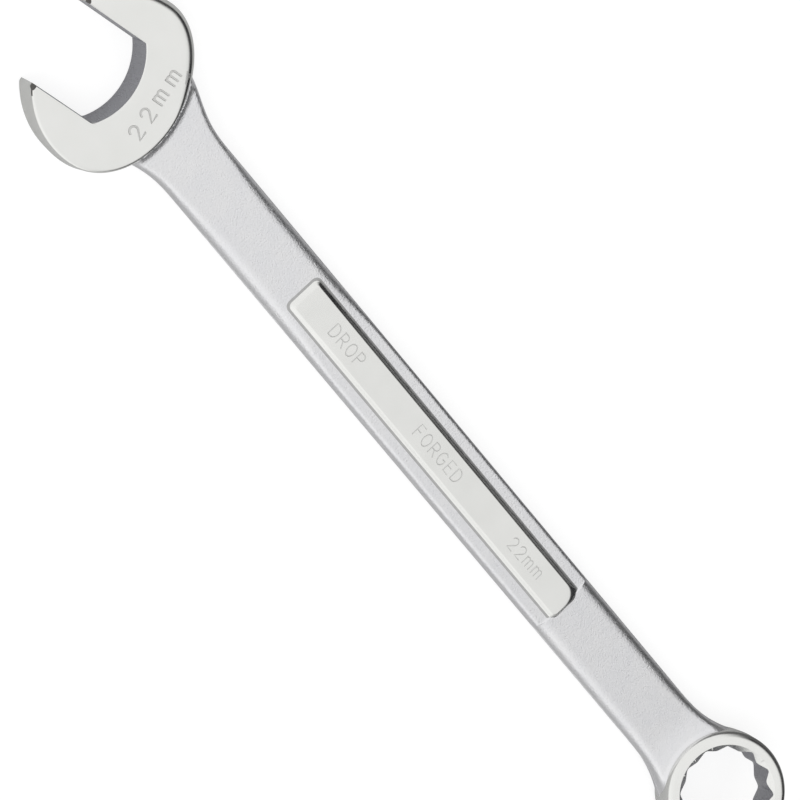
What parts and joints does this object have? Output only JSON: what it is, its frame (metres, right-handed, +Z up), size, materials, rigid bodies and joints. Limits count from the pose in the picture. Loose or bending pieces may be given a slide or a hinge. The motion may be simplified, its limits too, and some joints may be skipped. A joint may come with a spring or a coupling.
{
  "type": "combination wrench",
  "caption": "Combination wrench for a 22 mm nut: open end at 15 degrees, offset twelve-point ring end, flat forged shank with a raised panel on each face.",
  "frame": {"origin": "middle of the footprint on the surface that the wrench lies on", "axes": "+X along the shank from the open end to the ring end, +Z up from the surface that the wrench lies on"},
  "size_m": [0.2908, 0.0438, 0.0203],
  "materials": {
    "polished_chrome": "polished nickel-chrome plate",
    "satin_chrome": "satin bead-blasted nickel-chrome plate"
  },
  "bodies": {
    "root": {"open_end_head": "polished_chrome", "open_end_neck": "satin_chrome", "shank": "satin_chrome", "upper_panel": "polished_chrome", "lower_panel": "polished_chrome", "ring_end_neck": "satin_chrome", "ring_end_head": "polished_chrome"}
  },
  "joints": []
}
